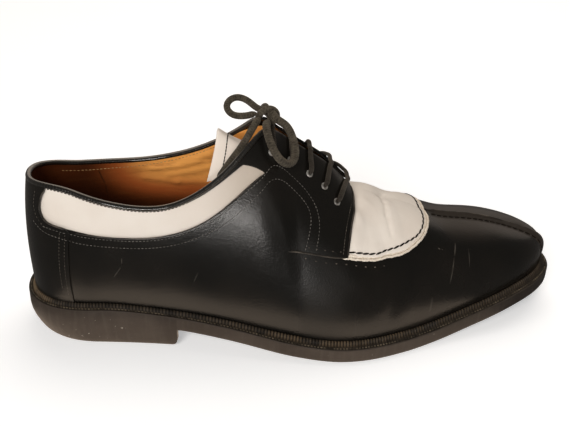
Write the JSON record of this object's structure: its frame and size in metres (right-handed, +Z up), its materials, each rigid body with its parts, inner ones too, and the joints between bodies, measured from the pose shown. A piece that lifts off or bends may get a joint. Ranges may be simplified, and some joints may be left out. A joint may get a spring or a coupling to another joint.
{
  "type": "lace-up dress shoe",
  "caption": "Right lace-up derby dress shoe in black and white leather, hollow upper on a welted sole with a low heel.",
  "frame": {"origin": "on the floor under the middle of the sole's outline", "axes": "+X towards the toe, +Y towards the medial (inner) side, +Z up"},
  "size_m": [0.305, 0.1086, 0.1272],
  "materials": {
    "black_leather": "polished smooth calf with creases and light scuffs",
    "white_leather": "smooth warm white calf, satin",
    "lining_leather": "tan lining leather, satin",
    "welt_leather": "stained and wheeled edge, worn to tan",
    "sole_leather": "dark stained edge, scuffed",
    "eyelet_steel": "small pressed rings, slightly dulled",
    "lace_cord": "round waxed cotton lace, dark brown-black"
  },
  "bodies": {
    "root": {"outsole": "sole_leather", "heel": "sole_leather", "welt": "welt_leather", "insole": "lining_leather", "upper": "black_leather", "tongue": "white_leather", "eyelet_lateral_1": "eyelet_steel", "eyelet_lateral_2": "eyelet_steel", "eyelet_lateral_3": "eyelet_steel", "eyelet_lateral_4": "eyelet_steel", "eyelet_lateral_5": "eyelet_steel", "eyelet_medial_1": "eyelet_steel", "eyelet_medial_2": "eyelet_steel", "eyelet_medial_3": "eyelet_steel", "eyelet_medial_4": "eyelet_steel", "eyelet_medial_5": "eyelet_steel", "lace_bar_1": "lace_cord", "lace_bar_2": "lace_cord", "lace_bar_3": "lace_cord", "lace_bar_4": "lace_cord", "lace_bar_5": "lace_cord", "lace_knot": "lace_cord", "lace_loop_lateral": "lace_cord", "lace_loop_medial": "lace_cord", "lace_end_lateral": "lace_cord", "lace_end_medial": "lace_cord"}
  },
  "joints": []
}
